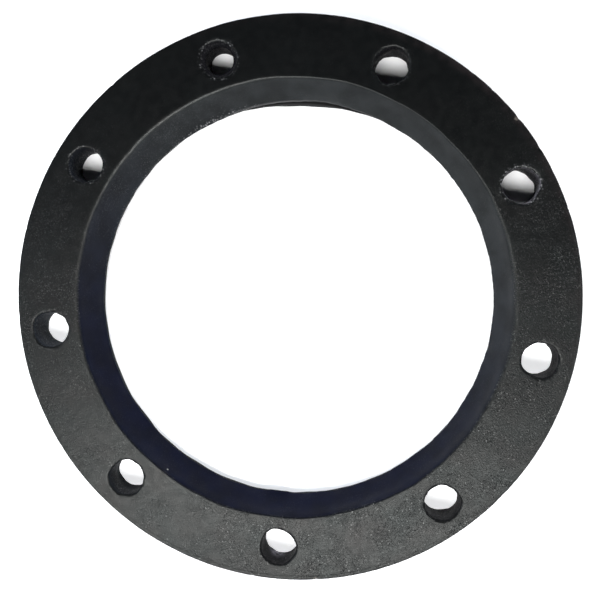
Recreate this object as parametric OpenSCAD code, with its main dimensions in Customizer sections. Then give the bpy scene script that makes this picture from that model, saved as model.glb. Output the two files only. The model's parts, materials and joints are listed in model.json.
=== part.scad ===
// Closet flange ring: a flat cast ring with a funnel-shaped bore and a circle of bolt holes,
// and the thin rubber seal that sits in a recess under the bore's lip.
// Origin: centre of the bore on the underside. +Z points up out of the funnel, and the first
// bolt hole is on +X. Millimetres.

/* [Ring] */
// Outside diameter of the ring
ring_d = 178; // [170:1:200]
// Thickness of the casting
ring_t = 12.7; // [10:0.1:16]
// Corner radius between the top face and the rim
top_corner_r = 0.5; // [0.3:0.1:2]
// Corner radius between the underside and the rim
bottom_corner_r = 0.6; // [0.2:0.1:1]

/* [Funnel bore] */
// Diameter of the bore at its narrowest, the lip
bore_d = 127; // [118:0.5:128]
// Diameter where the funnel wall meets the top face
funnel_d = 139; // [134:0.5:141]
// Height of the straight wall under the lip
land_h = 1.2; // [0.8:0.1:2]
// Radius of the edge between the funnel and the top face
funnel_edge_r = 0.9; // [0.3:0.1:1.5]
// Radius of the lip between the funnel and the straight wall
lip_r = 0.4; // [0.2:0.1:0.8]

/* [Bolt holes] */
// Number of bolt holes
bolt_count = 9; // [4:1:12]
// Diameter of the circle that the hole centres lie on
bolt_circle_d = 157.5; // [156:0.5:158]
// Diameter of each hole
bolt_hole_d = 11; // [8:0.5:11.5]
// Width of the bevel at both mouths of each hole
hole_bevel = 0.35; // [0.1:0.05:0.6]

/* [Seal] */
// Thickness of the rubber seal, which fills the depth of its recess
seal_t = 2; // [1.5:0.1:3]
// Outside diameter of the recess under the lip
recess_d = 140; // [136:0.5:142]
// Radial gap between the seal and the recess wall
seal_gap = 0.25; // [0.1:0.05:0.4]
// How far the seal's inner edge stands back from the lip
seal_setback = 0.5; // [0.2:0.1:1]
// Radius on the seal's inner edges
seal_edge_r = 0.3; // [0.1:0.1:0.5]

/* [Hidden] */

round_fn = 180;  // segments in a full turn, all rebuilt as true circles
arc_steps = 6;   // straight steps in each small corner arc
cut = 1;         // how far a cutting solid runs past the faces it opens

ring_r = ring_d / 2;
bore_r = bore_d / 2;
funnel_r = funnel_d / 2;
recess_r = recess_d / 2;
lip_z = seal_t + land_h;                                    // top of the straight wall
funnel_angle = atan2(ring_t - lip_z, funnel_r - bore_r);    // slope of the funnel from level

// Points on an arc about [x, z], from angle a0 to angle a1
function arc(x, z, r, a0, a1) =
    [for (i = [0 : arc_steps]) let (a = a0 + (a1 - a0) * i / arc_steps)
        [x + r * cos(a), z + r * sin(a)]];

// Distance from a sharp corner to where its rounding starts, for a corner that turns by "turn"
function tangent_length(r, turn) = r * tan(turn / 2);

// Half section of the casting, from the axis side outwards, with its corners rounded
module ring_profile() {
    lip_back = tangent_length(lip_r, 90 - funnel_angle);
    edge_back = tangent_length(funnel_edge_r, funnel_angle);
    polygon(concat(
        [[recess_r, 0]],
        arc(ring_r - bottom_corner_r, bottom_corner_r, bottom_corner_r, -90, 0),
        arc(ring_r - top_corner_r, ring_t - top_corner_r, top_corner_r, 0, 90),
        arc(funnel_r + edge_back, ring_t - funnel_edge_r, funnel_edge_r, 90, 90 + funnel_angle),
        arc(bore_r + lip_r, lip_z - lip_back, lip_r, 90 + funnel_angle, 180),
        [[bore_r, seal_t], [recess_r, seal_t]]
    ));
}

// One bolt hole on the axis: a straight bore with a bevel at each mouth
module bolt_hole() {
    hole_r = bolt_hole_d / 2;
    translate([0, 0, -cut]) cylinder(r = hole_r, h = ring_t + 2 * cut);
    translate([0, 0, ring_t - hole_bevel])
        cylinder(r1 = hole_r, r2 = hole_r + hole_bevel + cut, h = hole_bevel + cut);
    translate([0, 0, -cut])
        cylinder(r1 = hole_r + hole_bevel + cut, r2 = hole_r, h = hole_bevel + cut);
}

// The cast ring, with its recess and bolt holes
module flange_ring() {
    color([0.10, 0.10, 0.11])
    difference() {
        rotate_extrude($fn = round_fn) ring_profile();
        for (i = [0 : bolt_count - 1])
            rotate([0, 0, i * 360 / bolt_count])
                translate([bolt_circle_d / 2, 0, 0])
                    bolt_hole($fn = round_fn);
    }
}

// The flat rubber seal: it fills the recess and finishes flush with the underside
module seal_ring() {
    inner_r = bore_r + seal_setback;
    outer_r = recess_r - seal_gap;
    color([0.16, 0.16, 0.17])
    rotate_extrude($fn = round_fn)
        polygon(concat(
            arc(inner_r + seal_edge_r, seal_t - seal_edge_r, seal_edge_r, 90, 180),
            arc(inner_r + seal_edge_r, seal_edge_r, seal_edge_r, 180, 270),
            [[outer_r, 0], [outer_r, seal_t]]
        ));
}

flange_ring();
seal_ring();
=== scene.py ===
"""Looks for a black cast toilet flange ring and the thin rubber seal under its bore.

Everything is in metres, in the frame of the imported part: origin at the centre of the bore on
the underside, +Z up out of the funnel, first bolt hole on +X. A bearing is an angle round the
bore in degrees, from +X towards +Y.
"""

import json
import math

import bmesh
import bpy
import numpy as np
from mathutils import Matrix, Vector


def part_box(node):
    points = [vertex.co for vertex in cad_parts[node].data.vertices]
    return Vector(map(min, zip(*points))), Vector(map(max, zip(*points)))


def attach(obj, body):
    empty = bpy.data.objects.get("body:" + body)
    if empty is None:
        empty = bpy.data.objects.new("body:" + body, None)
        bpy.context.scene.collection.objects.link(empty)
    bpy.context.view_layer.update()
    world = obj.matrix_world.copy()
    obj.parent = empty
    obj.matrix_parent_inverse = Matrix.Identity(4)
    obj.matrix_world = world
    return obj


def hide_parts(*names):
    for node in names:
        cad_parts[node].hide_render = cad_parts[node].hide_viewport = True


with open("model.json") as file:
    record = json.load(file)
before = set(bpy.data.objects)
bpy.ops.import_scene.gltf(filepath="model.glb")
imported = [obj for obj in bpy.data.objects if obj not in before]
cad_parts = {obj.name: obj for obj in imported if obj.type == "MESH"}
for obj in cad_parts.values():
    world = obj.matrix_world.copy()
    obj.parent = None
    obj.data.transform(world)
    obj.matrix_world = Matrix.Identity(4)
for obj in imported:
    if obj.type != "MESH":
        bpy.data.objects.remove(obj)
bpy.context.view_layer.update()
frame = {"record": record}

# ---------------------------------------------------------------- sizes from the frame
MM = 0.001
mounts = {m["name"]: m for m in frame["record"]["mounts"]}
ring_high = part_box("flange_ring")[1]
seal_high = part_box("seal_ring")[1]

TOP_Z = ring_high.z
RING_R = ring_high.x
SEAL_T = seal_high.z
SEAL_OUTER_R = seal_high.x
BORE_R = mounts["bore"]["dims"]["r_mm"] * MM
PITCH_R = mounts["bolt_circle"]["dims"]["pcd_mm"] * MM / 2
HOLE_R = mounts["bolt_circle"]["dims"]["hole_r_mm"] * MM
HOLES = mounts["bolt_circle"]["dims"]["count"]

# ---------------------------------------------------------------- sizes of the visible shape
FUNNEL_R = 69.5 * MM          # where the funnel meets the top face
LIP_Z = 3.2 * MM              # height of the lip's corner above the underside
RECESS_R = 70.0 * MM          # recess that holds the seal
SEAL_INNER_R = 64.0 * MM
TOP_CORNER = 0.4 * MM         # radius between the top face and the rim
BOTTOM_CORNER = 0.6 * MM
LIP_CORNER = 0.4 * MM
HOLE_CORNER = 0.65 * MM       # radius at each hole's mouths
SMALL_CORNER = 0.2 * MM       # radius at the recess's edges
SEAL_CORNER = 0.3 * MM
FUNNEL_SLOPE = math.degrees(math.atan2(TOP_Z - LIP_Z, FUNNEL_R - BORE_R))
RIM_GROOVE = 0.07 * MM        # depth of the faint groove just inside the rim

# The groove's section: how far inside the rim in millimetres, and the share of its depth there
GROOVE_SHAPE = ((1.60, 0.0), (1.25, 0.0), (0.95, 1.0), (0.70, 0.3))

# How far a hole's wall stands in from its mouth, in millimetres. Hole 0 is the one on +X.
HOLE_SQUEEZE = {1: 0.15, 2: 1.0, 3: 0.35}

# ---------------------------------------------------------------- where the ring differs
# A stretch is (bearing of its middle, reach), both in degrees, and fades out over twice its reach.
# Where several stretches add up, each has its strength as a third number.
BURR = (62, 19)               # smooth bead along the lip
CRUMBLY = (87, 9)             # stretch of the lip where paint and burr crumbled
ROUGH_LIP = (112, 22)         # beside it, where the lip's edge is speckled
LIP_HIGHLIGHT_STRETCH = (66, 16)         # stretch of the lip with a painted highlight
SEAL_CREEP = (61, 15)         # where the seal shows inside the bore
FUNNEL_GRAIN = (110, 22)      # the funnel's only rough stretch
STAINED_RIM = (15, 45)        # brown stain towards the rim
LIT_PATCH_TOP = (0, 8)             # painted light on a hole wall near the top face
LIT_PATCH_FOOT = (239, 1.3)        # painted light on a hole wall near the underside
GROOVE_DEEPEST = (270, 70)
EDGE_EXTRA = ((102, 34, 1.0), (157, 18, 1.1), (330, 28, 1.4), (30, 25, -0.4))    # millimetres
LIP_EXTRA = ((58, 16, 0.45), (87, 9, -0.50))                                      # millimetres
TOP_GRAIN = ((258, 60, 0.62), (325, 30, 0.75), (158, 28, 0.42))
RUBBED_EDGE = ((115, 55, 0.8), (330, 30, 0.4))
RUBBED_LIP = ((68, 30, 1.0),)
# Hole mouths with crumbs, partly painted as pale glints
MOUTH_CRUMBS_AND_GLINTS = ((0, 20, 0.9), (100, 50, 0.55))

# The knocks that show on the rim: bearing in degrees, reach in millimetres, strength
CHIPS = [(12, 1.3, 0.9), (5, 0.9, 0.6), (25, 0.8, 0.5), (248, 0.9, 0.8), (-8, 0.7, 0.5)]
FAINT_CHIPS = 14              # more of them, scattered round the rim

# ---------------------------------------------------------------- mesh density
ACROSS = 30                   # steps across the flat faces, and across the block round a hole
SECTOR = 84                   # steps round the ring for each hole
COLUMNS = SECTOR * HOLES
MOUTH_POINTS = 4 * ACROSS     # points round each hole
TOP_LAYERS = 10               # rings of faces round each mouth in the top face
UNDERSIDE_LAYERS = 4
# Points down the funnel, as shares of its slope, closer together near the lip
FUNNEL_SHARES = (0.11, 0.22, 0.33, 0.44, 0.55, 0.66, 0.77, 0.86, 0.91, 0.945, 0.968, 0.986)
# Points across the seal's upper face, closer together near its inner edge
SEAL_SHARES = (0.4, 0.7, 0.84, 0.90, 0.94, 0.97)


# ---------------------------------------------------------------- small geometry helpers
def arc(x, z, radius, start, end, steps):
    """Points [(x, z), ...] on an arc about (x, z), from angle start to end in degrees."""
    angles = np.radians(np.linspace(start, end, steps + 1))
    return [(x + radius * math.cos(a), z + radius * math.sin(a)) for a in angles]


def line(start, end, shares):
    """Points at the given shares of the way from start to end."""
    return [(start[0] + (end[0] - start[0]) * s, start[1] + (end[1] - start[1]) * s)
            for s in shares]


def even(steps):
    """The inner shares of a line cut into equal steps."""
    return np.arange(1, steps) / steps


def polar(radius, angle, z):
    """Points at a radius, angle and height, any of them an array."""
    radius, angle, z = np.broadcast_arrays(radius, angle, z)
    return np.stack([radius * np.cos(angle), radius * np.sin(angle), z], axis=-1)


def radial(points):
    """Each point's distance from the bore's axis, and the level direction away from it."""
    r = np.hypot(points[:, 0], points[:, 1])
    return r, points * (1, 1, 0) / r[:, None]


def bearings(points):
    """The angle of each point round the bore, in radians."""
    return np.arctan2(points[:, 1], points[:, 0])


def near(distance, reach):
    """1 where distance is 0, about a third at reach, and next to nothing at twice the reach."""
    return np.exp(-(distance / reach) ** 2)


def facing(angles, bearing, reach):
    """1 at a bearing round the ring, fading on both sides as near does. Both are in degrees."""
    apart = np.abs((np.degrees(angles) - bearing + 180) % 360 - 180)
    return near(apart, reach)


def facing_all(angles, stretches):
    """Sums stretches round the ring, each (bearing, reach, strength)."""
    return sum(strength * facing(angles, bearing, reach) for bearing, reach, strength in stretches)


def rough(points, wavelength, seed, waves=40):
    """A smooth random height of unit spread at each point, with bumps about wavelength apart."""
    rng = np.random.default_rng(seed)
    heading = rng.normal(size=(waves, 3))
    heading /= np.linalg.norm(heading, axis=1, keepdims=True)
    turns = heading * (2 * math.pi / wavelength) * rng.uniform(0.7, 1.4, (waves, 1))
    phase = rng.uniform(0, 2 * math.pi, waves)
    return np.cos(points @ turns.T + phase).sum(axis=1) * math.sqrt(2 / waves)


def wobble(points, *waves):
    """Random heights summed in metres, from waves of (height, wavelength, seed) in millimetres."""
    return sum(height * MM * rough(points, wavelength * MM, seed)
               for height, wavelength, seed in waves)


class Shell:
    """Collects the points and quads of one closed mesh."""

    def __init__(self):
        self.points = np.zeros((0, 3))
        self.quads = []

    def add(self, points):
        """Adds points and returns their indices."""
        start = len(self.points)
        self.points = np.vstack([self.points, np.reshape(points, (-1, 3))])
        return np.arange(start, len(self.points))

    def band(self, row_a, row_b):
        """Quads between two closed rows of the same length."""
        next_a, next_b = np.roll(row_a, -1), np.roll(row_b, -1)
        self.quads.append(np.stack([row_a, next_a, next_b, row_b], axis=1))

    def turned(self, section, angles):
        """Turns an open section [(r, z), ...] round the bore, and returns its rows of points."""
        rows = [self.add(polar(r, angles, z)) for r, z in section]
        for row_a, row_b in zip(rows, rows[1:]):
            self.band(row_a, row_b)
        return rows

    def mesh(self, name):
        """The finished mesh, with unused points dropped and every face turned outwards."""
        quads = np.concatenate(self.quads)
        used, quads = np.unique(quads, return_inverse=True)
        mesh = bpy.data.meshes.new(name)
        mesh.from_pydata(self.points[used].tolist(), [], quads.reshape(-1, 4).tolist())
        work = bmesh.new()
        work.from_mesh(mesh)
        bmesh.ops.recalc_face_normals(work, faces=work.faces)
        work.to_mesh(mesh)
        work.free()
        mesh.shade_smooth()
        return mesh


def mesh_points(mesh):
    """The mesh's points and their normals, as arrays."""
    count = len(mesh.vertices)
    points, normals = np.zeros(count * 3), np.zeros(count * 3)
    mesh.vertices.foreach_get("co", points)
    mesh.vertex_normals.foreach_get("vector", normals)
    return points.reshape(-1, 3), normals.reshape(-1, 3)


def set_points(mesh, points):
    """Moves the mesh's points to new places."""
    mesh.vertices.foreach_set("co", points.ravel())
    mesh.update()


def add_mask(mesh, name, values):
    """Stores a number between 0 and 1 at each point, for the material to read."""
    mask = mesh.attributes.new(name, "FLOAT", "POINT")
    mask.data.foreach_set("value", np.clip(values, 0, 1).astype(np.float32))


def show_piece(name, mesh, node):
    """Links a mesh as a piece that stands for one CAD node and rides on the part's body."""
    piece = bpy.data.objects.new(name, mesh)
    bpy.context.scene.collection.objects.link(piece)
    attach(piece, "root")
    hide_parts(node)


# ---------------------------------------------------------------- the casting, still smooth
def hole_frame(points):
    """For each point: distance from the nearest hole's axis, and the level direction away from it."""
    step = 2 * math.pi / HOLES
    nearest = np.round(bearings(points) / step) * step
    away = points - polar(PITCH_R, nearest, 0.0)
    away[:, 2] = 0
    distance = np.linalg.norm(away, axis=1)
    return distance, away / np.maximum(distance, 1e-9)[:, None]


def hole_wall(shell, angle, squeeze):
    """One hole's wall with rounded mouths. Returns its top and bottom rows."""
    corner = HOLE_CORNER
    waist = HOLE_R - squeeze
    shoulder = TOP_Z - 2.5 * corner
    profile = (arc(HOLE_R + corner, TOP_Z - corner, corner, 90, 180, 4)
               + line((HOLE_R, TOP_Z - corner), (waist, shoulder), (0.5, 1.0))
               + line((waist, shoulder), (waist, corner), even(6))
               + arc(waist + corner, corner, corner, 180, 270, 3))
    # The first point faces the block's inner corner, which is 135 degrees back from outwards
    turn = angle - math.radians(135) + np.arange(MOUTH_POINTS) * 2 * math.pi / MOUTH_POINTS
    centre = polar(PITCH_R, angle, 0.0)
    rows = [shell.add(centre + polar(r, turn, z)) for r, z in profile]
    for row_a, row_b in zip(rows, rows[1:]):
        shell.band(row_a, row_b)
    return rows[0], rows[-1]


def bored_flat(shell, inner_row, outer_row, mouths, layers):
    """Fills a flat face between its inner and outer rows, leaving a round mouth per sector.
    Each mouth sits in a square block, joined to it by rings that turn from square to round."""
    rows = [inner_row]
    for j in range(1, ACROSS):
        inner, outer = shell.points[inner_row], shell.points[outer_row]
        rows.append(shell.add(inner + (outer - inner) * (j / ACROSS)))
    rows = np.array(rows + [outer_row])
    following = np.roll(rows, -1, axis=1)
    quads = np.stack([rows[:-1], rows[1:], following[1:], following[:-1]], axis=-1)
    outside_blocks = np.abs(np.arange(COLUMNS) % SECTOR + 0.5 - SECTOR / 2) > ACROSS / 2
    shell.quads.append(quads[:, outside_blocks].reshape(-1, 4))
    for hole, mouth in enumerate(mouths):
        first = hole * SECTOR + (SECTOR - ACROSS) // 2
        last = first + ACROSS
        loop = np.concatenate([rows[:-1, first], rows[-1, first:last],
                               rows[:0:-1, last], rows[0, last:first:-1]])
        ring = loop
        for layer in range(1, layers):
            share = 1 - (1 - layer / layers) ** 1.3    # rings get closer towards the mouth
            square, round_end = shell.points[loop], shell.points[mouth]
            next_ring = shell.add(square + (round_end - square) * share)
            shell.band(ring, next_ring)
            ring = next_ring
        shell.band(ring, mouth)


def funnel_section(angles):
    """From the top face down the funnel, round the lip and across the recess to the underside."""
    edge = MM * (1.0 + facing_all(angles, EDGE_EXTRA))
    edge_back = edge * math.tan(math.radians(FUNNEL_SLOPE / 2))
    lip_back = LIP_CORNER * math.tan(math.radians((90 - FUNNEL_SLOPE) / 2))
    funnel_edge = arc(FUNNEL_R + edge_back, TOP_Z - edge, edge, 90, 90 + FUNNEL_SLOPE, 6)
    lip = arc(BORE_R + LIP_CORNER, LIP_Z - lip_back, LIP_CORNER, 90 + FUNNEL_SLOPE, 180, 4)
    lip_foot = arc(BORE_R + SMALL_CORNER, SEAL_T + SMALL_CORNER, SMALL_CORNER, 180, 270, 2)
    recess_foot = arc(RECESS_R + SMALL_CORNER, SMALL_CORNER, SMALL_CORNER, 180, 270, 2)
    slope = line(funnel_edge[-1], lip[0], FUNNEL_SHARES)
    return funnel_edge + slope + lip + lip_foot + [(RECESS_R, SEAL_T)] + recess_foot


def rim_section(angles):
    """From the top face over the faint groove and the rim's wall to the underside."""
    groove = RIM_GROOVE * (0.25 + 0.75 * facing(angles, *GROOVE_DEEPEST))
    rim_band = [(RING_R - inset * MM, TOP_Z - share * groove) for inset, share in GROOVE_SHAPE]
    top_corner = arc(RING_R - TOP_CORNER, TOP_Z - TOP_CORNER, TOP_CORNER, 90, 0, 4)
    bottom_corner = arc(RING_R - BOTTOM_CORNER, BOTTOM_CORNER, BOTTOM_CORNER, 0, -90, 3)
    return rim_band + top_corner + line(top_corner[-1], bottom_corner[0], even(7)) + bottom_corner


def casting_mesh():
    """The whole casting as one closed mesh, still perfectly smooth."""
    shell = Shell()
    angles = (np.arange(COLUMNS) - SECTOR / 2) * 2 * math.pi / COLUMNS
    funnel_rows = shell.turned(funnel_section(angles), angles)
    rim_rows = shell.turned(rim_section(angles), angles)
    mouths = [hole_wall(shell, hole * 2 * math.pi / HOLES, HOLE_SQUEEZE.get(hole, 0) * MM)
              for hole in range(HOLES)]
    upper = [top for top, bottom in mouths]
    lower = [bottom for top, bottom in mouths]
    bored_flat(shell, funnel_rows[0], rim_rows[0], upper, TOP_LAYERS)
    bored_flat(shell, funnel_rows[-1], rim_rows[-1], lower, UNDERSIDE_LAYERS)
    return shell.mesh("flange_casting")


# ---------------------------------------------------------------- the casting's unevenness
FUNNEL_SHRINK = 0.50 * MM     # how far inside its nominal circle the upper edge lies on average
FUNNEL_OFFSET = 0.35 * MM     # how far off centre the upper edge lies, towards OFFSET_BEARING
OFFSET_BEARING = math.radians(93)


def wobble_funnel(points):
    """The funnel's two edges aren't quite round: the upper one was dressed by hand."""
    r, outwards = radial(points)
    around = outwards * FUNNEL_R
    offset = FUNNEL_OFFSET * np.array([math.cos(OFFSET_BEARING), math.sin(OFFSET_BEARING), 0])
    upper = near(np.hypot(r - FUNNEL_R, points[:, 2] - TOP_Z), 3.5 * MM)
    upper_shift = wobble(around, (0.12, 26, 11), (0.04, 7, 12))
    upper_shift += outwards @ offset - FUNNEL_SHRINK
    lower = near(np.hypot(r - BORE_R, points[:, 2] - LIP_Z), 1.6 * MM)
    lower_shift = wobble(around, (0.10, 14, 13), (0.05, 3, 14))
    lower_shift += MM * facing_all(bearings(points), LIP_EXTRA)
    return points + outwards * (upper * upper_shift + lower * lower_shift)[:, None]


def up_slope(points):
    """How far each point lies up the funnel's slope from the lip's corner."""
    slope = math.radians(FUNNEL_SLOPE)
    outwards = np.hypot(points[:, 0], points[:, 1]) - BORE_R
    return outwards * math.cos(slope) + (points[:, 2] - LIP_Z) * math.sin(slope)


def lip_burr(points):
    """A low bead of paint and burr along the lip: smooth on one stretch and crumbly beside it."""
    r, outwards = radial(points)
    slope = math.radians(FUNNEL_SLOPE)
    off_slope = (points[:, 2] - LIP_Z) * math.cos(slope) - (r - BORE_R) * math.sin(slope)
    on_lip = near(up_slope(points) - 0.22 * MM, 0.24 * MM) * near(off_slope, 0.5 * MM)
    crumbs = np.clip(rough(points, 1.5 * MM, 15), -0.4, 2)
    angles = bearings(points)
    height = 0.26 * facing(angles, *BURR) + 0.22 * crumbs * (0.2 + facing(angles, *CRUMBLY))
    off_wall = outwards * -math.sin(slope) + np.array([0, 0, math.cos(slope)])
    return points + off_wall * (height * MM * on_lip)[:, None]


def ragged_mouths(points):
    """The holes aren't quite round, and their edges broke away unevenly."""
    distance, away = hole_frame(points)
    depth = np.minimum(TOP_Z - points[:, 2], points[:, 2])
    whole = near(distance - HOLE_R, 1.2 * MM)
    edge = near(distance - HOLE_R, 0.7 * MM) * near(depth, 1.0 * MM)
    shape = wobble(points, (0.16, 9, 20))
    shift = wobble(points, (0.08, 3.5, 21), (0.04, 1.6, 22))
    sink = 0.07 * MM * (0.6 + rough(points, 2.2 * MM, 23))
    downwards = np.where(points[:, 2] > TOP_Z / 2, -1.0, 1.0)
    moved = points + away * (whole * shape + edge * shift)[:, None]
    moved[:, 2] += edge * np.maximum(sink, 0) * downwards
    return moved


def rim_chips(points):
    """Small dents along the rim's top corner. Returns the moved points and how chipped each is."""
    rng = np.random.default_rng(5)
    chips = CHIPS + [(bearing, 0.7, 0.35) for bearing in rng.uniform(0, 360, FAINT_CHIPS)]
    chipped = np.zeros(len(points))
    for bearing, reach, strength in chips:
        centre = polar(RING_R - 0.3 * MM, math.radians(bearing), TOP_Z - 0.2 * MM)
        distance = np.linalg.norm(points - centre, axis=1)
        chipped = np.maximum(chipped, strength * near(distance, reach * MM))
    inwards = -radial(points)[1] - np.array([0, 0, 0.8])
    bite = 0.25 * MM * chipped * (1 + 0.5 * rough(points, 1.1 * MM, 31))
    return points + inwards * np.maximum(bite, 0)[:, None], chipped


# ---------------------------------------------------------------- masks for the casting's paint
class Places:
    """Where each point of the casting lies: round the ring and by zone as on the smooth shape,
    and by height as on the finished one."""

    def __init__(self, smooth, finished):
        self.r = np.hypot(smooth[:, 0], smooth[:, 1])
        self.angles = bearings(smooth)
        self.z = finished[:, 2]
        self.depth = TOP_Z - self.z
        self.up_slope = up_slope(finished)
        self.from_hole = hole_frame(smooth)[0]
        self.in_funnel, self.in_hole = inner_zones(smooth)
        self.inner = self.in_funnel | self.in_hole
        self.on_top = near(np.maximum(self.depth, 0), 0.9 * MM)


def inner_zones(smooth):
    """Which points belong to the bore's inner surfaces, and which to a hole's wall."""
    r = np.hypot(smooth[:, 0], smooth[:, 1])
    in_funnel = (r < FUNNEL_R - 0.2 * MM) & (smooth[:, 2] < TOP_Z - 0.3 * MM)
    in_hole = hole_frame(smooth)[0] < HOLE_R + 0.15 * MM
    return in_funnel, in_hole


def mark_zones(mesh, at):
    """Marks the funnel, the dull surfaces, and what the top view doesn't show."""
    over_edge = np.clip((FUNNEL_R + 0.4 * MM - at.r) / (0.8 * MM), 0, 1)
    under_lip = (at.r < BORE_R + 0.6 * MM) & (at.z < LIP_Z - 0.1 * MM)
    add_mask(mesh, "funnel", np.where(at.in_funnel, 1.0, over_edge * at.on_top))
    add_mask(mesh, "dull", np.where(at.in_hole | under_lip, 1.0, 0.0))
    add_mask(mesh, "unseen", np.where(at.inner, 0, 1 - at.on_top))


def mark_grain(mesh, at):
    """Marks how coarse the cast grain is: uneven on the top face, and even on the rim's wall."""
    on_top_face = 0.07 + facing_all(at.angles, TOP_GRAIN)
    outside = np.where(at.depth < 0.6 * MM, on_top_face, 0.5)
    inside = np.where(at.in_funnel, 0.08 + 0.25 * facing(at.angles, *FUNNEL_GRAIN), 0.4)
    add_mask(mesh, "grain", np.where(at.inner, inside, outside))


def mark_edges(mesh, at):
    """Marks the crumbs, which are partly painted glints, the painted highlight along the lip, and the
    edges rubbed by hands.
    """
    at_lip = near(np.hypot(at.r - BORE_R - 0.3 * MM, at.z - LIP_Z - 0.3 * MM), 0.9 * MM)
    on_lip_edge = near(np.hypot(at.r - BORE_R - 0.1 * MM, at.z - LIP_Z), 0.55 * MM)
    lip_highlight_band = near(at.up_slope - 0.30 * MM, 0.22 * MM)
    at_mouth = near(at.from_hole - HOLE_R - 0.3 * MM, 0.6 * MM) * near(at.depth, 0.9 * MM)
    crease = near(np.hypot(at.r - FUNNEL_R, at.z - TOP_Z), 1.1 * MM)
    lip = near(np.hypot(at.r - BORE_R, at.z - LIP_Z), 0.6 * MM)
    add_mask(mesh, "crumbs", 2.5 * at_lip * facing(at.angles, *CRUMBLY)
             + 0.8 * on_lip_edge * facing(at.angles, *ROUGH_LIP)
             + at_mouth * facing_all(at.angles, MOUTH_CRUMBS_AND_GLINTS))
    # Painted highlight along the lip
    add_mask(mesh, "lip_highlight", 0.85 * lip_highlight_band * facing(at.angles, *LIP_HIGHLIGHT_STRETCH))
    add_mask(mesh, "rubbed", crease * facing_all(at.angles, RUBBED_EDGE)
             + lip * facing_all(at.angles, RUBBED_LIP))


def mark_wear_and_lit_walls(mesh, at, chipped):
    """Marks the chips, the stain towards the rim, and the painted light on two hole walls."""
    add_mask(mesh, "wear", chipped)
    to_rim = np.clip((at.r - RING_R) / (2.8 * MM) + 1, 0, 1)
    add_mask(mesh, "rim_stain", to_rim * facing(at.angles, *STAINED_RIM))
    # Painted light on the walls of two holes
    lit_top = near(at.depth, 4 * MM) * facing(at.angles, *LIT_PATCH_TOP)
    lit_foot = near(at.z - 3.2 * MM, 2.0 * MM) * facing(at.angles, *LIT_PATCH_FOOT)
    add_mask(mesh, "lit_wall_patch", at.in_hole * (0.4 * lit_top + lit_foot))


def weather(mesh):
    """Gives the smooth casting its foundry skin, uneven edges and knocks, and marks them."""
    smooth, normals = mesh_points(mesh)
    in_funnel, in_hole = inner_zones(smooth)
    skin = np.where(in_funnel | in_hole, 0.35, 1.0)
    swell = wobble(smooth, (0.020, 20, 1), (0.005, 5, 2))
    points = smooth + normals * (skin * swell)[:, None]
    points = ragged_mouths(lip_burr(wobble_funnel(points)))
    points, chipped = rim_chips(points)
    set_points(mesh, points)
    places = Places(smooth, points)
    mark_zones(mesh, places)
    mark_grain(mesh, places)
    mark_edges(mesh, places)
    mark_wear_and_lit_walls(mesh, places, chipped)


# ---------------------------------------------------------------- the seal
def seal_mesh():
    """The rubber ring, closed all round."""
    shell = Shell()
    angles = np.arange(COLUMNS) * 2 * math.pi / COLUMNS
    corner = SEAL_CORNER
    inner, outer = SEAL_INNER_R + corner, SEAL_OUTER_R - corner
    section = (arc(inner, SEAL_T - corner, corner, 90, 180, 3)
               + arc(inner, corner, corner, 180, 270, 3)
               + line((inner, 0), (outer, 0), even(4))
               + arc(outer, corner, corner, -90, 0, 3)
               + arc(outer, SEAL_T - corner, corner, 0, 90, 3)
               + line((outer, SEAL_T), (inner, SEAL_T), SEAL_SHARES))
    rows = shell.turned(section, angles)
    shell.band(rows[-1], rows[0])
    return shell.mesh("seal_rubber")


def age_seal(mesh):
    """The seal's inner edge was cut by hand. On one side it creeps into the bore and droops."""
    points = mesh_points(mesh)[0]
    r, outwards = radial(points)
    creep = facing(bearings(points), *SEAL_CREEP)
    cut = wobble(outwards * BORE_R, (0.08, 9, 41))
    inner_edge = np.clip((SEAL_OUTER_R - r) / (SEAL_OUTER_R - SEAL_INNER_R), 0, 1)
    points = points - outwards * (inner_edge * (1.4 * MM * creep + cut))[:, None]
    r = np.hypot(points[:, 0], points[:, 1])
    upper_face = points[:, 2] > SEAL_T / 2
    points[:, 2] -= 0.5 * MM * creep * near(r - BORE_R + 0.5 * MM, 1.2 * MM) * upper_face
    set_points(mesh, points)
    upper_face = points[:, 2] > SEAL_T / 2
    # Painted shade in the crevice under the lip
    add_mask(mesh, "gap", near(r - BORE_R - 0.20 * MM, 0.50 * MM) * upper_face)


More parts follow.
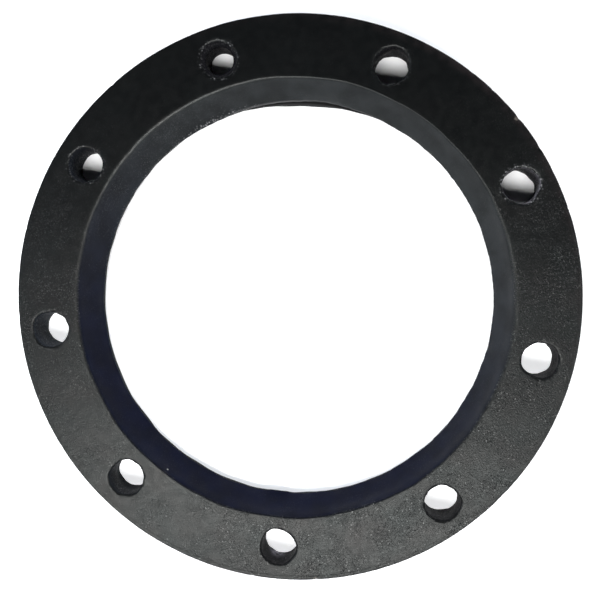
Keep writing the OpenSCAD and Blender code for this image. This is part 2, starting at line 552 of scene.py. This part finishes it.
# ---------------------------------------------------------------- material building blocks
class Graph:
    """A short way to write a node material."""

    def __init__(self, name):
        self.material = bpy.data.materials.new(name)
        self.material.use_nodes = True
        self.nodes = self.material.node_tree.nodes
        self.links = self.material.node_tree.links
        self.nodes.clear()
        output = self.nodes.new("ShaderNodeOutputMaterial")
        self.surface = self.nodes.new("ShaderNodeBsdfPrincipled")
        self.links.new(self.surface.outputs[0], output.inputs["Surface"])
        self.place = self.nodes.new("ShaderNodeTexCoord").outputs["Object"]

    def feed(self, socket, value):
        """Links an output to a socket, or sets the socket to a plain value."""
        if isinstance(value, bpy.types.NodeSocket):
            self.links.new(value, socket)
        else:
            socket.default_value = value

    def noise(self, size, detail=2.0, roughness=0.5, warp=0.0):
        """Noise with features about size metres apart."""
        node = self.nodes.new("ShaderNodeTexNoise")
        self.links.new(self.place, node.inputs["Vector"])
        node.inputs["Scale"].default_value = 1 / size
        node.inputs["Detail"].default_value = detail
        node.inputs["Roughness"].default_value = roughness
        node.inputs["Distortion"].default_value = warp
        return node.outputs["Fac"]

    def specks(self, size, reach, share):
        """Scattered dots, 1 at the middle of each. Size is their spacing in metres, reach their
        radius as a share of it, and share the part of the dots that show."""
        node = self.nodes.new("ShaderNodeTexVoronoi")
        self.links.new(self.place, node.inputs["Vector"])
        node.inputs["Scale"].default_value = 1 / size
        dot = self.ramp(node.outputs["Distance"], 0.3 * reach, reach, 1.0, 0.0)
        split = self.nodes.new("ShaderNodeSeparateColor")
        self.links.new(node.outputs["Color"], split.inputs[0])
        strength = self.ramp(split.outputs["Red"], 1.0 - share, 1.0)
        return self.times(dot, strength)

    def ramp(self, value, low, high, to_low=0.0, to_high=1.0):
        """Maps low..high to to_low..to_high, clamped and eased."""
        node = self.nodes.new("ShaderNodeMapRange")
        node.interpolation_type = "SMOOTHSTEP"
        self.feed(node.inputs["Value"], value)
        node.inputs["From Min"].default_value = low
        node.inputs["From Max"].default_value = high
        node.inputs["To Min"].default_value = to_low
        node.inputs["To Max"].default_value = to_high
        return node.outputs["Result"]

    def math(self, operation, a, b):
        """One of Blender's math operations on two values or outputs."""
        node = self.nodes.new("ShaderNodeMath")
        node.operation = operation
        self.feed(node.inputs[0], a)
        self.feed(node.inputs[1], b)
        return node.outputs[0]

    def plus(self, a, b):
        return self.math("ADD", a, b)

    def minus(self, a, b):
        return self.math("SUBTRACT", a, b)

    def times(self, a, b):
        return self.math("MULTIPLY", a, b)

    def blend(self, share, colour_a, colour_b):
        """Colour a where share is 0, and colour b where it's 1."""
        node = self.nodes.new("ShaderNodeMix")
        node.data_type = "RGBA"
        self.feed(node.inputs["Factor"], share)
        for socket, colour in zip((node.inputs[6], node.inputs[7]), (colour_a, colour_b)):
            self.feed(socket, (*colour, 1) if isinstance(colour, tuple) else colour)
        return node.outputs[2]

    def scaled(self, colour, amount):
        """A colour made lighter or darker."""
        node = self.nodes.new("ShaderNodeVectorMath")
        node.operation = "SCALE"
        self.feed(node.inputs[0], colour)
        self.feed(node.inputs["Scale"], amount)
        return node.outputs[0]

    def bump(self, height, depth):
        """A bump whose height of 0 to 1 stands for depth metres."""
        node = self.nodes.new("ShaderNodeBump")
        node.inputs["Strength"].default_value = 1.0
        node.inputs["Distance"].default_value = depth
        self.feed(node.inputs["Height"], height)
        return node.outputs["Normal"]

    def along(self, bearing, start, end):
        """Goes from 0 to 1 across the part, along a level bearing in degrees."""
        node = self.nodes.new("ShaderNodeVectorMath")
        node.operation = "DOT_PRODUCT"
        self.links.new(self.place, node.inputs[0])
        a = math.radians(bearing)
        node.inputs[1].default_value = (math.cos(a), math.sin(a), 0)
        return self.ramp(node.outputs["Value"], start, end)

    def from_centre(self):
        """Distance from the object's own origin."""
        node = self.nodes.new("ShaderNodeVectorMath")
        node.operation = "LENGTH"
        self.links.new(self.place, node.inputs[0])
        return node.outputs["Value"]

    def mask(self, name):
        """A mask stored on the mesh by add_mask."""
        node = self.nodes.new("ShaderNodeAttribute")
        node.attribute_name = name
        return node.outputs["Fac"]

    def finish(self, **inputs):
        """Feeds the surface's named inputs, and returns the material."""
        for name, value in inputs.items():
            self.feed(self.surface.inputs[name.replace("_", " ")], value)
        return self.material


# ---------------------------------------------------------------- the two materials
# Where two colours stand together, noise or a ramp blends between them
TOP_BLACK = ((0.0006, 0.0008, 0.0010), (0.0018, 0.0021, 0.0023))
BROWN_STAIN = (0.0095, 0.0072, 0.0076)
CAST_SIDES = ((0.011, 0.0114, 0.0118), (0.019, 0.0193, 0.0195))
# Painted shade: the funnel's grey on the side facing the key light, and its dark navy on the side
# facing away
FUNNEL_PAINTED_SHADE = ((0.0138, 0.0154, 0.0164), (0.0006, 0.0014, 0.0073))
HOLE_WALLS = ((0.006, 0.006, 0.007), (0.014, 0.017, 0.022))
BROWN_IRON = (0.055, 0.048, 0.042)
# Painted light: pale lit patches on two hole walls
LIT_WALL_PATCH_COLOUR = (0.300, 0.290, 0.330)
DARK_CRUMB = (0.0008, 0.0008, 0.0010)
# Pale crumbs: crumbled paint, partly painted glints
PALE_CRUMB_GLINT = (0.16, 0.16, 0.165)
# Painted highlight along the lip
PAINTED_LIP_HIGHLIGHT = (0.085, 0.085, 0.086)
DUST = (0.50, 0.50, 0.48)
COOL_TO_WARM = ((0.90, 1.0, 0.97), (1.0, 0.96, 0.93))
RUBBER = ((0.020, 0.021, 0.021), (0.030, 0.031, 0.031))
# Painted shade where the seal meets the lip
PAINTED_GAP_SHADE = (0.0005, 0.0005, 0.0005)


def sand_skin(g, grain):
    """The skin left by the moulding sand. Returns its bump, and how much each spot glints."""
    patchy = g.ramp(g.noise(8 * MM, 3.0), 0.38, 0.60, 0.3, 1.0)
    bumps = g.specks(0.80 * MM, 0.38, 0.9)
    pits = g.specks(0.95 * MM, 0.36, 0.9)
    facets = g.specks(0.72 * MM, 0.36, 0.7)
    strokes = g.ramp(g.noise(0.55 * MM, 2.0, 0.6, 1.2), 0.52, 0.68)
    sand = g.times(g.noise(0.45 * MM, 2.0), 0.6)
    relief = g.plus(g.times(g.minus(bumps, pits), 0.7), g.times(strokes, 0.55))
    height = g.times(g.plus(g.times(relief, patchy), sand), grain)
    glint = g.plus(g.plus(g.times(bumps, 0.4), g.times(facets, 1.6)), g.times(strokes, 0.75))
    return g.bump(height, 0.08 * MM), g.times(g.times(glint, patchy), grain)


def paint_with_funnel_shade(g):
    """The paint's colour where it's whole: top face, rim and underside, funnel, hole walls. The
    funnel's colour holds painted shade: grey where its wall faces the key light, dark navy where it
    faces away.
    """
    stain = g.times(g.mask("rim_stain"), g.ramp(g.noise(3 * MM, 3.0), 0.3, 0.6))
    colour = g.blend(stain, g.blend(g.noise(14 * MM, 3.0), *TOP_BLACK), BROWN_STAIN)
    sides = g.blend(g.ramp(g.noise(2 * MM, 5.0, 0.65), 0.3, 0.7), *CAST_SIDES)
    colour = g.blend(g.mask("unseen"), colour, sides)
    # Painted shade: darker and bluer towards bearing 221, where the funnel's wall faces away from the
    # key light
    funnel = g.blend(g.along(221, -0.9 * BORE_R, 0.8 * BORE_R), *FUNNEL_PAINTED_SHADE)
    mottle = g.ramp(g.noise(7 * MM, 2.0), 0.3, 0.7, 0.72, 1.15)
    colour = g.blend(g.mask("funnel"), colour, g.scaled(funnel, mottle))
    walls = g.blend(g.along(160, 0.5 * RING_R, RING_R), *HOLE_WALLS)
    return g.blend(g.mask("dull"), colour, walls)


def wear_and_painted_light(g, colour):
    """Lays the knocks, the painted light on two hole walls, the crumbs with their painted glints, the
    painted highlight along the lip, and dust over the paint's colour.
    """
    worn = g.times(g.mask("wear"), g.ramp(g.noise(0.8 * MM, 3.0, 0.6), 0.35, 0.6))
    colour = g.blend(g.ramp(worn, 0.25, 0.6), colour, BROWN_IRON)
    # Painted light: pale lit patches on two hole walls
    lit_patch = g.times(g.mask("lit_wall_patch"), g.ramp(g.noise(1.1 * MM, 3.0), 0.3, 0.6))
    colour = g.blend(lit_patch, colour, LIT_WALL_PATCH_COLOUR)
    crumbs = g.mask("crumbs")
    colour = g.blend(g.times(g.specks(0.85 * MM, 0.6, 0.9), crumbs), colour, DARK_CRUMB)
    # Pale specks: crumbled paint and painted glints
    colour = g.blend(g.times(g.specks(0.70 * MM, 0.55, 0.9), crumbs), colour, PALE_CRUMB_GLINT)
    # Painted highlight along a stretch of the lip
    colour = g.blend(g.mask("lip_highlight"), colour, PAINTED_LIP_HIGHLIGHT)
    return g.blend(g.times(g.specks(14 * MM, 0.028, 0.9), 0.8), colour, DUST)


def casting_paint():
    """Thin black paint over sand-cast iron: pebbled skin, dust, and brown iron at the knocks."""
    g = Graph("black_casting_paint")
    funnel, dull, unseen = g.mask("funnel"), g.mask("dull"), g.mask("unseen")
    rubbed = g.times(g.mask("rubbed"), g.ramp(g.noise(1.4 * MM), 0.35, 0.6, 0.5, 1.0))
    normal, glint = sand_skin(g, g.times(g.mask("grain"), 1.5))

    roughness = g.ramp(g.noise(2.5 * MM, 3.0), 0.3, 0.7, 0.345, 0.405)
    roughness = g.plus(roughness, g.times(g.math("MAXIMUM", funnel, dull), 0.2))
    roughness = g.minus(roughness, g.times(rubbed, 0.06))
    roughness = g.plus(roughness, g.times(unseen, 0.2))

    shine = g.ramp(funnel, 0.0, 1.0, 0.20, 0.07)
    shine = g.times(shine, g.ramp(dull, 0.0, 1.0, 1.0, 0.1))
    shine = g.plus(shine, g.times(glint, 0.40))
    shine = g.plus(shine, g.times(rubbed, 0.14))
    shine = g.times(shine, g.ramp(unseen, 0.0, 1.0, 1.0, 0.4))
    tint = g.blend(g.noise(9 * MM, 2.0), *COOL_TO_WARM)
    return g.finish(Base_Color=wear_and_painted_light(g, paint_with_funnel_shade(g)), Roughness=roughness, Normal=normal,
                    IOR=1.5, Specular_IOR_Level=shine, Specular_Tint=tint)


def seal_rubber():
    """Matt black rubber sheet with a faint skin, and painted shade in the crevice where it meets the
    lip.
    """
    g = Graph("seal_rubber")
    # Painted shade where the seal meets the lip
    colour = g.blend(g.mask("gap"), g.blend(g.noise(6 * MM, 3.0), *RUBBER), PAINTED_GAP_SHADE)
    normal = g.bump(g.noise(0.35 * MM, 2.0), 0.02 * MM)
    return g.finish(Base_Color=colour, Roughness=0.75, Normal=normal, Specular_IOR_Level=0.12)


# ---------------------------------------------------------------- camera
# It looks almost straight down the bore, leaning a little towards the first hole
PICTURE_UP = 63.1             # bearing that points up in the picture
PICTURE_DOWN = PICTURE_UP + 180
CAMERA_LEAN = 6.1             # degrees off the bore's axis
CAMERA_DISTANCE = 3.0 * RING_R
CAMERA_TARGET = Vector((2.5 * MM, -0.9 * MM, TOP_Z))
LENS_RATIO = 1.421            # focal length over the picture's width


def make_camera():
    """The camera that the picture is taken with."""
    data = bpy.data.cameras.new("camera")
    data.sensor_width = 36
    data.lens = LENS_RATIO * data.sensor_width
    data.clip_start = 0.01
    camera = bpy.data.objects.new("camera", data)
    lean = math.radians(CAMERA_LEAN)
    back = Vector((math.sin(lean), 0, math.cos(lean)))
    bearing = math.radians(PICTURE_UP)
    picture_up = Vector((math.cos(bearing), math.sin(bearing), 0))
    right = picture_up.cross(back).normalized()
    up = back.cross(right)
    camera.matrix_world = Matrix.Translation(CAMERA_TARGET + back * CAMERA_DISTANCE) @ Matrix(
        (right, up, back)).transposed().to_4x4()
    bpy.context.scene.collection.objects.link(camera)
    bpy.context.scene.camera = camera


# ---------------------------------------------------------------- stage and light
FLOOR_Z = -0.12 * MM          # just clear of the underside
FLOOR_R = 12
FLOOR_TONES = ((0.93, 0.93, 0.93), (0.95, 0.95, 0.95))
FLOOR_GLOW = (0.93, 0.94, 0.95, 1)
FAR_GLOW = (0.35, 1.1)        # radii where the far floor starts to glow, and where it's in full
UNDER_RING = (66.5 * MM, 88.5 * MM)    # the glow under the ring runs between these radii,
UNDER_RING_FADE = 2 * MM               # and fades over this much at each
UNDER_RING_GLOW = 0.80
HORIZON = (0.92, 0.95, 1.0, 1)
OVERHEAD = (0.01, 0.011, 0.013, 1)
PALE_WALLS = (1.0, 1.0, 1.0, 1)


def make_floor():
    """A wide pale floor. The lights fade far from the ring, so it glows softly out there and
    meets the walls. It glows under the picture's lower half of the ring too, so that the holes
    there show it bright."""
    g = Graph("pale_floor")
    tone = g.blend(g.noise(0.25, 2.0), *FLOOR_TONES)
    out = g.from_centre()
    inner, outer = UNDER_RING
    under_ring = g.times(g.ramp(out, inner, inner + UNDER_RING_FADE),
                         g.ramp(out, outer - UNDER_RING_FADE, outer, 1.0, 0.0))
    lower_half = g.along(PICTURE_DOWN, -20 * MM, -2 * MM)
    glow = g.math("MAXIMUM", g.ramp(out, *FAR_GLOW),
                  g.times(g.times(under_ring, lower_half), UNDER_RING_GLOW))
    material = g.finish(Base_Color=tone, Roughness=0.9, Specular_IOR_Level=0.0,
                        Emission_Color=FLOOR_GLOW, Emission_Strength=glow)
    bpy.ops.mesh.primitive_circle_add(vertices=96, radius=FLOOR_R, fill_type="NGON",
                                      location=(0, 0, FLOOR_Z))
    floor = bpy.context.active_object
    floor.name = "floor"
    floor.data.materials.append(material)


def make_world():
    """Surroundings that are pale at the horizon and dark overhead. The camera itself sees plain
    pale walls instead of the dark ceiling."""
    world = bpy.data.worlds.new("studio")
    bpy.context.scene.world = world
    world.use_nodes = True
    nodes, links = world.node_tree.nodes, world.node_tree.links
    place = nodes.new("ShaderNodeTexCoord")
    split = nodes.new("ShaderNodeSeparateXYZ")
    ramp = nodes.new("ShaderNodeValToRGB")
    ramp.color_ramp.elements[0].position = 0.25
    ramp.color_ramp.elements[0].color = HORIZON
    ramp.color_ramp.elements[1].position = 0.68
    ramp.color_ramp.elements[1].color = OVERHEAD
    links.new(place.outputs["Generated"], split.inputs[0])
    links.new(split.outputs["Z"], ramp.inputs["Fac"])
    links.new(ramp.outputs["Color"], nodes["Background"].inputs["Color"])
    walls = nodes.new("ShaderNodeBackground")
    walls.inputs["Color"].default_value = PALE_WALLS
    choose = nodes.new("ShaderNodeMixShader")
    links.new(nodes.new("ShaderNodeLightPath").outputs["Is Camera Ray"], choose.inputs["Fac"])
    links.new(nodes["Background"].outputs[0], choose.inputs[1])
    links.new(walls.outputs[0], choose.inputs[2])
    links.new(choose.outputs[0], nodes["World Output"].inputs["Surface"])


def area_light(name, bearing, elevation, distance, width, height, watts, colour=(1, 1, 1)):
    """A soft box aimed at the ring, from a bearing and elevation in degrees."""
    a, e = math.radians(bearing), math.radians(elevation)
    data = bpy.data.lights.new(name, "AREA")
    data.shape = "RECTANGLE"
    data.size = width
    data.size_y = height
    data.energy = watts
    data.color = colour
    light = bpy.data.objects.new(name, data)
    light.location = distance * Vector(
        (math.cos(a) * math.cos(e), math.sin(a) * math.cos(e), math.sin(e)))
    light.rotation_mode = "QUATERNION"
    light.rotation_quaternion = light.location.to_track_quat("Z", "Y")
    bpy.context.scene.collection.objects.link(light)
    return light


def make_lights():
    """A key light from the foot of the picture, small ones from its lower right and its left, and
    a broad one from its head that lights the floor and isn't mirrored in the paint."""
    area_light("key", bearing=PICTURE_DOWN - 10, elevation=67, distance=0.60,
               width=0.52, height=0.16, watts=5.4)
    area_light("side", bearing=PICTURE_DOWN + 42, elevation=52, distance=0.80,
               width=0.16, height=0.16, watts=1.0)
    area_light("left", bearing=PICTURE_DOWN - 90, elevation=40, distance=1.2,
               width=0.3, height=0.3, watts=2.2, colour=(0.75, 0.85, 1.0))
    far = area_light("far", bearing=PICTURE_UP, elevation=42, distance=1.2,
                     width=0.8, height=0.5, watts=18, colour=(0.93, 0.96, 1.0))
    far.visible_glossy = False


# ---------------------------------------------------------------- build
casting = casting_mesh()
weather(casting)
casting.materials.append(casting_paint())
show_piece("flange_casting", casting, "flange_ring")

seal = seal_mesh()
age_seal(seal)
seal.materials.append(seal_rubber())
show_piece("seal_rubber", seal, "seal_ring")

make_floor()
make_world()
make_lights()
make_camera()
bpy.context.scene.view_settings.view_transform = "Standard"
